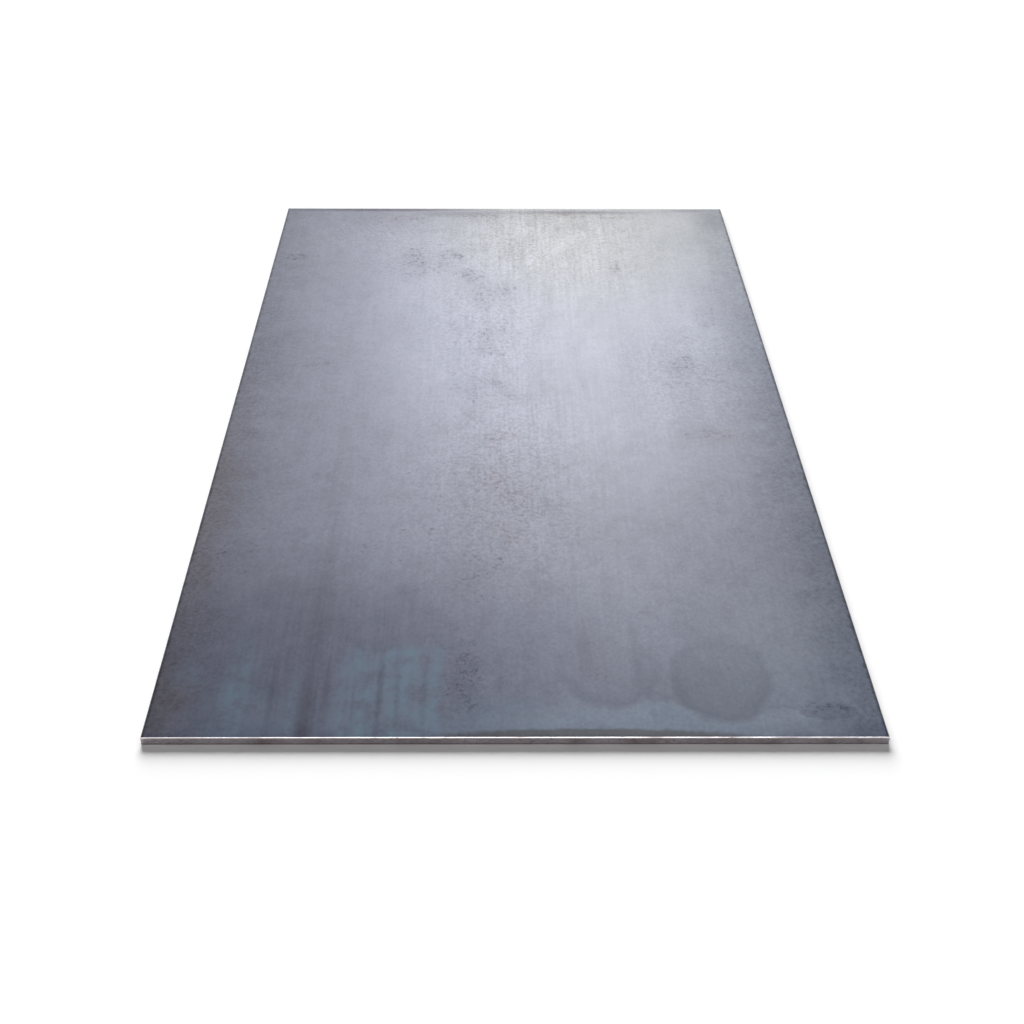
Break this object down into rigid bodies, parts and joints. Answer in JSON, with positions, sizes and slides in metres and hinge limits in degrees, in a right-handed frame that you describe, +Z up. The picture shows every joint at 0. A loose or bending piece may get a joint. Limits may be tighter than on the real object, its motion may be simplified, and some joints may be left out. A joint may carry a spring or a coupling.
{
  "type": "steel plate",
  "caption": "Flat rectangular hot-rolled steel plate in its blue-grey mill scale, guillotined on all four sides; raw stock to cut, weld or bolt.",
  "frame": {"origin": "centre of the underside", "axes": "+Z up, out of the top face; +Y along the length, which is the rolling direction; +X across the width"},
  "size_m": [1, 2, 0.0125],
  "materials": {
    "mill_scale": "hot-rolled, blue-grey mill scale with a dull sheen; sheared edges with a narrow bright land"
  },
  "bodies": {
    "root": {"steel_plate": "mill_scale"}
  },
  "joints": []
}
